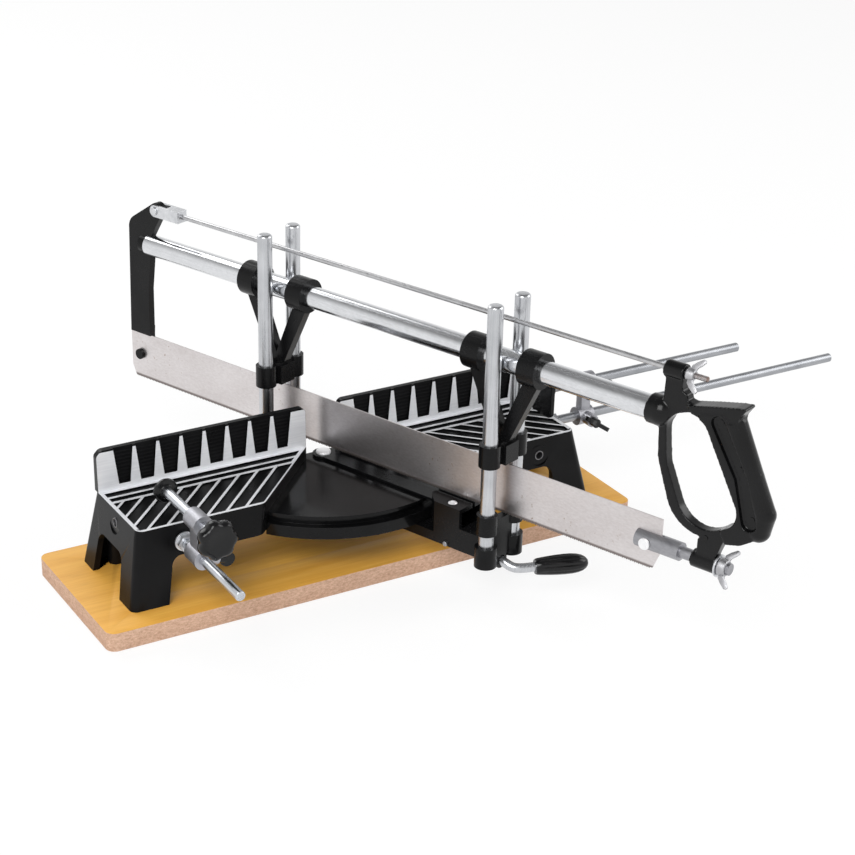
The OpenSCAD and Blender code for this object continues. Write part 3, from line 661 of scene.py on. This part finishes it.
length, outer, edge = tube["rear"] - tube["front"], tube["radius"], tube["edge"]
inner = outer - tube["wall"]
profile = [(inner, 0), (outer - edge, 0), (outer, edge), (outer, length - edge), (outer - edge, length),
           (inner, length), (inner, 0)]
bm = moved(lathe(profile, 80), toRear, shift(0, tube["front"], tube["z"]), armTurn)
carried(pieceFrom(bm, "mainTube", chromeTube), "saw", "chrome", "main_tube")

plainRods = [
    # piece, node, body, finish, axis
    ("clampRod", "clamp_rod", "bench", zincBar, 1),
    ("stopCarrier", "stop_carrier", "bench", zincAcross, 0),
    ("stopRod", "stop_rod", "stop_rod", zincAcross, 0),
]
for name, node, body, finish, axis in plainRods:
    low, high = (Vector(corner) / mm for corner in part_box(node))
    start = (low + high) / 2
    start[axis] = low[axis]
    bar = roundBar((high.z - low.z) / 2, high[axis] - low[axis], bars["barEnd"])
    moved(bar, toRear if axis else toRight, shift(*start))
    carried(pieceFrom(bar, name, finish), body, "zinc", node)
print("bars made")


# handle, rounded all over as a moulding
handle = {"voxel": 0.75, "passes": 7, "markRadius": 2.0, "markTall": 0.5,
          "marks": [(4.4, -369.0, 209.0), (4.4, -387.3, 178.5), (4.4, -400.0, 144.0), (4.7, -365.0, 117.8)]}
grip = pieceFrom(cadCopy("handle"), "sawHandle")
remesh = grip.modifiers.new("remesh", "REMESH")
remesh.mode = "VOXEL"
remesh.voxel_size = handle["voxel"] * mm
smooth = grip.modifiers.new("smooth", "SMOOTH")
smooth.factor = 0.5
smooth.iterations = handle["passes"]
baked(grip)
grip.data.shade_smooth()
grip.data.materials.append(mouldBlack)
carried(grip, "saw", "casting", "handle")


# round moulding marks on the grip's sunk floor and on the web
def mouldMarks(nodes):
    disc = Wire.add("GeometryNodeMeshCylinder", {"fill_type": "NGON"}, {
        "Vertices": 24, "Radius": nodes["radius"], "Depth": nodes["depth"]})
    laid = Wire.add("GeometryNodeTransform", {}, {"Geometry": disc, "Rotation": (0, quarter, 0)})
    row = Wire.add("GeometryNodeInstanceOnPoints", {}, {"Points": nodes["Geometry"], "Instance": laid})
    return Wire.add("GeometryNodeTransform", {}, {"Geometry": row, "Rotation": (0, 0, armAngle)})


spots = [(side * u, v, z) for u, v, z in handle["marks"] for side in (-1, 1)]
spotInputs = {"radius": (number, handle["markRadius"] * mm), "depth": (number, handle["markTall"] * mm)}
spotRow = pointMesh("markSpots", spots)
carried(grown("handleMarks", spotRow, spotInputs, mouldMarks, mouldBlack), "saw", "casting")
print("handle made:", len(grip.data.polygons), "faces")


# blade and its teeth
blade = {"node": "blade", "lowZ": 74.8, "edgeZ": 75.5, "first": 218.2, "count": 299,
         "pitch": 1.8, "depth": 1.5, "wide": 0.70, "thin": 0.55, "set": 9.0}
bm = cadCopy(blade["node"])
for vert in bm.verts:
    if vert.co.z < blade["edgeZ"] * mm:
        vert.co.z += blade["depth"] * mm
carried(pieceFrom(bm, "sawBlade", bladeSteel), "saw", "steel", blade["node"])


def teethRow(nodes):
    line = Wire.add("GeometryNodeMeshLine", {"mode": "OFFSET"}, {
        "Count": nodes["count"], "Offset": vector(0.0, -1 * nodes["pitch"], 0.0),
        "Start Location": (0, blade["first"] * mm, (blade["lowZ"] + blade["depth"]) * mm)})
    tooth = Wire.add("GeometryNodeMeshCone", {"fill_type": "NGON"}, {
        "Vertices": 4, "Side Segments": 1, "Fill Segments": 1, "Radius Top": 0.0,
        "Radius Bottom": nodes["pitch"] * blade["wide"], "Depth": nodes["depth"]})
    hung = Wire.add("GeometryNodeTransform", {}, {"Geometry": tooth, "Rotation": (math.pi, 0, quarter / 2)})
    thin = Wire.add("GeometryNodeTransform", {}, {"Geometry": hung, "Scale": (blade["thin"], 1, 1)})
    odd = Wire.sum("MODULO", Wire.add("GeometryNodeInputIndex"), 2.0)
    row = Wire.add("GeometryNodeInstanceOnPoints", {}, {
        "Points": line, "Instance": thin, "Rotation": vector(0.0, (odd - 0.5) * nodes["set"], 0.0)})
    return Wire.add("GeometryNodeTransform", {}, {"Geometry": row, "Rotation": (0, 0, armAngle)})


toothInputs = {"count": (count, blade["count"]), "pitch": (number, blade["pitch"] * mm),
               "depth": (number, blade["depth"] * mm), "set": (number, math.radians(2 * blade["set"]))}
teethStart = bpy.data.meshes.new("teethStart")
carried(grown("bladeTeeth", teethStart, toothInputs, teethRow, bladeSteel), "saw", "steel")
print("blade made with", blade["count"], "teeth")


# tension rod with its threaded end
rod = {"radius": 2.0, "tipRadius": 1.6, "tip": 0.6, "rear": 166.0, "rearTip": 0.1, "front": -353.0,
       "z": 235.0, "brownFrom": -336.0}
length = rod["rear"] - rod["front"]
profile = [(0, 0), (rod["tipRadius"], 0), (rod["radius"], rod["tip"]),
           (rod["radius"], length - rod["rearTip"]), (0, length)]
bm = moved(lathe(profile, 24), toRear, shift(0, rod["front"], rod["z"]), armTurn)
tension = pieceFrom(bm, "tensionRod", rodSteel, threadBrown)
for face in tension.data.polygons:
    if (armTurn.inverted() @ face.center).y < rod["brownFrom"] * mm:
        face.material_index = 1
carried(tension, "saw", "zinc", "tension_rod")

threads = {"rodThread": {"radius": 1.86, "run": 16.4, "pitch": 0.7, "front": -352.6, "z": 235.0},
           "holderThread": {"radius": 4.35, "run": 8.6, "pitch": 1.0, "front": -384.6, "z": 97.5},
           "crest": 0.36}  # share of the pitch


def threadCoil(nodes):
    coil = Wire.add("GeometryNodeCurveSpiral", {}, {
        "Resolution": 20, "Rotations": nodes["turns"], "Height": nodes["height"],
        "Start Radius": nodes["radius"], "End Radius": nodes["radius"]})
    crest = Wire.add("GeometryNodeCurvePrimitiveCircle", {"mode": "RADIUS"},
                     {"Resolution": 4, "Radius": nodes["crest"]})
    return Wire.add("GeometryNodeCurveToMesh", {}, {"Curve": coil, "Profile Curve": crest, "Fill Caps": True})


for name, finish in (("rodThread", threadBrown), ("holderThread", holderGrey)):
    size = threads[name]
    coilInputs = {"turns": (number, size["run"] / size["pitch"]), "radius": (number, size["radius"] * mm),
                  "height": (number, size["run"] * mm),
                  "crest": (number, threads["crest"] * size["pitch"] * mm)}
    coil = grown(name, bpy.data.meshes.new(name + "Start"), coilInputs, threadCoil, finish)
    for matrix in (toRear, shift(0, size["front"], size["z"]), armTurn):
        coil.data.transform(matrix)
    coil.data.shade_smooth()
    carried(coil, "saw", "zinc")
print("threads made")


# wing nuts stamped from sheet
wing = {"hub": 4.6, "wall": 2.4, "play": 0.05, "tall": 6.0, "flange": 1.0, "taper": 0.9, "crown": 1.5,
        "crownTall": 0.6, "thick": 1.5, "edge": 0.35,
        "outline": [(2.6, 1.0), (6.4, 1.4), (9.2, 4.2), (12.4, 8.6), (12.2, 10.4), (10.4, 11.2), (7.6, 9.0),
                    (5.4, 6.6), (2.6, 5.4)]}


def wingNut(name, bore, turn, seat, z):
    hub, tall, inner = max(wing["hub"], bore + wing["wall"]), wing["tall"], bore + wing["play"]

    # the bore's edge stays sharp at the seat
    def isRounded(edge):
        m = mid(edge)
        return m.z > wing["edge"] or m.xy.length > inner + wing["edge"]

    bm = lathe([(inner, 0), (hub, 0), (hub, wing["flange"]), (hub - wing["taper"], tall - wing["crownTall"]),
                (hub - wing["crown"], tall), (inner, tall), (inner, 0)], 32)
    grow = hub - wing["hub"]
    half = wing["thick"] * mm / 2
    for side in (-1, 1):
        near = [bm.verts.new((side * (r + grow) * mm, -half, h * mm)) for r, h in wing["outline"]]
        far = [bm.verts.new((v.co.x, half, v.co.z)) for v in near]
        bm.faces.new(near)
        bm.faces.new(list(reversed(far)))
        for k in range(len(near)):
            n = (k + 1) % len(near)
            bm.faces.new((near[k], far[k], far[n], near[n]))
    bmesh.ops.recalc_face_normals(bm, faces=bm.faces)
    soften(bm, wing["edge"], 2, 40, isRounded)
    moved(bm, Matrix.Rotation(math.radians(turn), 4, "Z"), toFront, shift(0, seat, z), armTurn)
    return pieceFrom(bm, name, nutZinc)


topNut = wingNut("topWingNut", bore=2.0, turn=62, seat=-336.5, z=235.0)
carried(topNut, "top_wing_nut", "zinc", "top_wing_nut")
bottomNut = wingNut("bottomWingNut", bore=4.5, turn=58, seat=-376.7, z=97.5)
carried(bottomNut, "bottom_wing_nut", "zinc", "bottom_wing_nut")
print("wing nuts made")


# pivot rivet and bridge screws, as outlines of radius and height
heads = {"rivet": [(0, 45.0), (7, 45.0), (7, 42.2), (4, 42.0), (4, 68.38), (6.2, 68.42), (6.3, 69.2),
                   (5.9, 70.0), (4.6, 70.5), (2.4, 70.75), (0, 70.8)],
         "screw": [(0, 68.0), (2, 68.0), (2, 72.8), (3.8, 72.85), (3.7, 73.6), (3.0, 74.15), (1.6, 74.4),
                   (1.4, 73.7), (0, 73.6)],
         "screwAcross": (-10, 10), "screwAlong": -143}
rivet = pieceFrom(lathe(heads["rivet"]), "pivotRivet", brightHead, angle=40)
carried(rivet, "arm", "zinc", "pivot_rivet")
screws = [moved(lathe(heads["screw"], 32), shift(across, heads["screwAlong"], 0), armTurn)
          for across in heads["screwAcross"]]
carried(pieceFrom(joined(screws), "bridgeScrews", brightHead, angle=40), "arm", "zinc", "bridge_screws")


# lock lever: one bent rod, and a fluted grip
lever = {"radius": 3.8,
         "line": [(0, -146, 34), (0, -165, 34), (0, -181, 34), (0.1, -187.5, 33), (0.8, -193, 30.6),
                  (3.2, -197.6, 29.6), (8, -201.8, 29.5), (15, -206.5, 29.5), (22, -212, 29.5),
                  (30, -218.2, 29.5)],
         "gripFrom": (15, -206.5, 29.5), "gripTo": (49, -233, 29.5), "steps": 108,
         "flutes": 9, "flute": 0.65, "fluteFrom": 0.06, "fluteTo": 0.93, "fluteFade": 0.12,
         "shape": [(0, 4.1), (0, 5.9), (0.03, 6.5), (0.12, 7.0), (0.25, 7.5), (0.4, 7.95), (0.55, 8.15),
                   (0.68, 8.05), (0.79, 7.5), (0.88, 6.4), (0.945, 4.8), (0.985, 2.9), (0.998, 1.0)]}
curve = bpy.data.curves.new("lockLever", "CURVE")
curve.dimensions = "3D"
spline = curve.splines.new("NURBS")
spline.points.add(len(lever["line"]) - 1)
for point, spot in zip(spline.points, lever["line"]):
    point.co = (*(Vector(spot) * mm), 1)
spline.order_u = 4
spline.use_endpoint_u = True
spline.resolution_u = 8
curve.bevel_depth = lever["radius"] * mm
curve.bevel_resolution = 8
curve.use_fill_caps = True
bent = bpy.data.objects.new("leverCurve", curve)
scene.collection.objects.link(bent)
mesh = bpy.data.meshes.new_from_object(bent.evaluated_get(bpy.context.evaluated_depsgraph_get()))
bpy.data.objects.remove(bent)
mesh.transform(armTurn)
mesh.shade_smooth()
carried(linked("lockLever", mesh, chromeUpright), "lever", "chrome", "lock_lever")


def fade(share):
    return max(0.0, min(1.0, share / lever["fluteFade"]))


def gripRadius(angle, radius, flute):
    return radius - flute * max(0.0, math.cos(lever["flutes"] * angle)) ** 1.5


start, end = Vector(lever["gripFrom"]), Vector(lever["gripTo"])
run = (end - start).length
bm = bmesh.new()
rings = []
for share, radius in lever["shape"]:
    flute = lever["flute"] * fade(share - lever["fluteFrom"]) * fade(lever["fluteTo"] - share)
    rings.append(ringOf(bm, lever["steps"], lambda a: gripRadius(a, radius, flute), share * run))
turn = (end - start).to_track_quat("Z", "Y").to_matrix().to_4x4()
moved(skin(bm, rings), turn, Matrix.Translation(start * mm), armTurn)
carried(pieceFrom(bm, "leverGrip", glossBlack, angle=55), "lever", "plastic", "lever_grip")
print("lock lever made")


# clamp knob with rounded lobes, and the swivel pad
clamp = {"x": -161.5, "z": 90.9, "knobY": -132.0, "padY": -44.0,
         "lobes": 7, "radius": 15.6, "lobeDepth": 0.05, "lobeCentre": 0.3, "valley": 1.25, "steps": 140,
         # share of the radius, height, share of the lobes
         "knob": [(0.46, -3.0, 0), (0.46, 0.0, 0), (0.78, 0.0, 0.7), (0.93, 1.0, 1), (1.0, 3.4, 1),
                  (1.0, 6.6, 1), (0.965, 8.8, 1), (0.88, 10.4, 0.9), (0.76, 11.0, 0.7), (0.6, 10.9, 0.4),
                  (0.4, 10.3, 0.1), (0.02, 10.1, 0)],
         # radius, height
         "pad": [(2.6, 5.0), (5.4, 5.0), (6.0, 4.4), (6.2, 3.6), (7.6, 3.2), (9.2, 2.9), (9.8, 2.3),
                 (9.8, 0.7), (9.2, 0.0), (0, 0.0)]}


def knobRadius(angle, share, lobe):
    wave = math.cos(clamp["lobes"] * angle)
    wave = wave if wave > 0 else clamp["valley"] * wave
    return clamp["radius"] * share * (1 + clamp["lobeDepth"] * lobe * (wave - clamp["lobeCentre"]))


bm = bmesh.new()
rings = [ringOf(bm, clamp["steps"], lambda a: knobRadius(a, share, lobe), height)
         for share, height, lobe in clamp["knob"]]
moved(skin(bm, rings), toFront, shift(clamp["x"], clamp["knobY"], clamp["z"]))
carried(pieceFrom(bm, "clampKnob", glossBlack, angle=60), "clamp_screw", "plastic", "clamp_knob")

bm = moved(lathe(clamp["pad"], 64), toFront, shift(clamp["x"], clamp["padY"], clamp["z"]))
carried(pieceFrom(bm, "clampPad", glossBlack, angle=40), "clamp_pad", "plastic", "clamp_pad")
print("clamp made")


# camera at the photograph's angle
view = {"azimuth": -30.01, "elevation": 26.51, "roll": 0.96, "spot": (-0.7190, -1.3443, 0.7912),
        "lens": 86.25, "sensor": 36, "shift": (0.0518, 0.0774)}
a, e, r = (math.radians(view[key]) for key in ("azimuth", "elevation", "roll"))
back = Vector((math.sin(a) * math.cos(e), -math.cos(a) * math.cos(e), math.sin(e)))
right = Vector((math.cos(a), math.sin(a), 0))
up = back.cross(right)
right, up = math.cos(r) * right + math.sin(r) * up, math.cos(r) * up - math.sin(r) * right
lensData = bpy.data.cameras.new("camera")
lensData.lens = view["lens"]
lensData.sensor_width = view["sensor"]
lensData.shift_x, lensData.shift_y = view["shift"]
camera = bpy.data.objects.new("camera", lensData)
camera.matrix_world = Matrix((right, up, back)).transposed().to_4x4()
camera.location = view["spot"]
scene.collection.objects.link(camera)
scene.camera = camera


# studio: pale floor, soft boxes, bright surround
studio = {"floorHalf": 6.0, "floorZ": -0.4, "floorTone": 0.86, "floorGlow": 1.06, "floorWhite": 0.78,
          "world": 0.80, "zenith": 0.35, "wallTop": 0.15, "ceiling": 0.75, "aim": (0.05, -0.03, 0.08),
          "boxes": {"keyBox": ((-1.5, -1.5, 1.9), 1.5, 44.0), "fillBox": ((1.9, -0.9, 1.2), 1.3, 16.0),
                    "backBox": ((-0.4, 1.9, 1.6), 1.4, 18.0)}}  # spot, size, power


# an emptied tree, with the kinds of ray that see the white surround
def startRays(owner):
    owner.use_nodes = True
    Wire.tree = owner.node_tree
    Wire.tree.nodes.clear()
    path = Wire.tree.nodes.new("ShaderNodeLightPath")
    return [Wire(path.outputs["Is %s Ray" % kind]) for kind in ("Camera", "Glossy", "Transmission")]


def endRays(share, lit, white, output):
    whole = Wire.add("ShaderNodeMixShader", {}, {0: share, 1: lit, 2: white})
    Wire.tree.links.new(whole.socket, Wire.tree.nodes.new(output).inputs["Surface"])


paleFloor = bpy.data.materials.new("paleFloor")
direct, glossy, through = startRays(paleFloor)
seen = Wire.sum("MINIMUM", direct + glossy + through, 1.0)
matt = Wire.add("ShaderNodeBsdfDiffuse", {}, {"Color": (*[studio["floorTone"]] * 3, 1)})
glow = Wire.add("ShaderNodeEmission", {}, {"Color": (1, 1, 1, 1), "Strength": studio["floorGlow"]})
endRays(studio["floorWhite"] * seen, matt, glow, "ShaderNodeOutputMaterial")
bm = bmesh.new()
bmesh.ops.create_grid(bm, x_segments=1, y_segments=1, size=studio["floorHalf"])
floor = pieceFrom(moved(bm, shift(0, 0, studio["floorZ"])), "floor", paleFloor)

scene.world = bpy.data.worlds.new("studio")
direct, glossy, through = startRays(scene.world)
heading = Wire.add("ShaderNodeTexCoord", out="Generated")
rise = Wire.add("ShaderNodeSeparateXYZ", {}, {"Vector": heading}, 2)
dim = ramp(rise, studio["wallTop"], studio["ceiling"])  # a pale wall all round under a darker ceiling
level = studio["world"] * (1 - (1 - studio["zenith"]) * dim)
seen = Wire.sum("MINIMUM", direct + (glossy + through) * (1 - dim), 1.0)
lit = Wire.add("ShaderNodeBackground", {}, {"Color": (1, 1, 1, 1), "Strength": level})
white = Wire.add("ShaderNodeBackground", {}, {"Color": (1, 1, 1, 1), "Strength": 1.0})
endRays(seen, lit, white, "ShaderNodeOutputWorld")

for name, (spot, size, power) in studio["boxes"].items():
    lamp = bpy.data.lights.new(name, "AREA")
    lamp.size = size
    lamp.energy = power
    softBox = bpy.data.objects.new(name, lamp)
    softBox.location = spot
    softBox.rotation_euler = (Vector(studio["aim"]) - Vector(spot)).to_track_quat("-Z", "Y").to_euler()
    scene.collection.objects.link(softBox)
print("studio made")
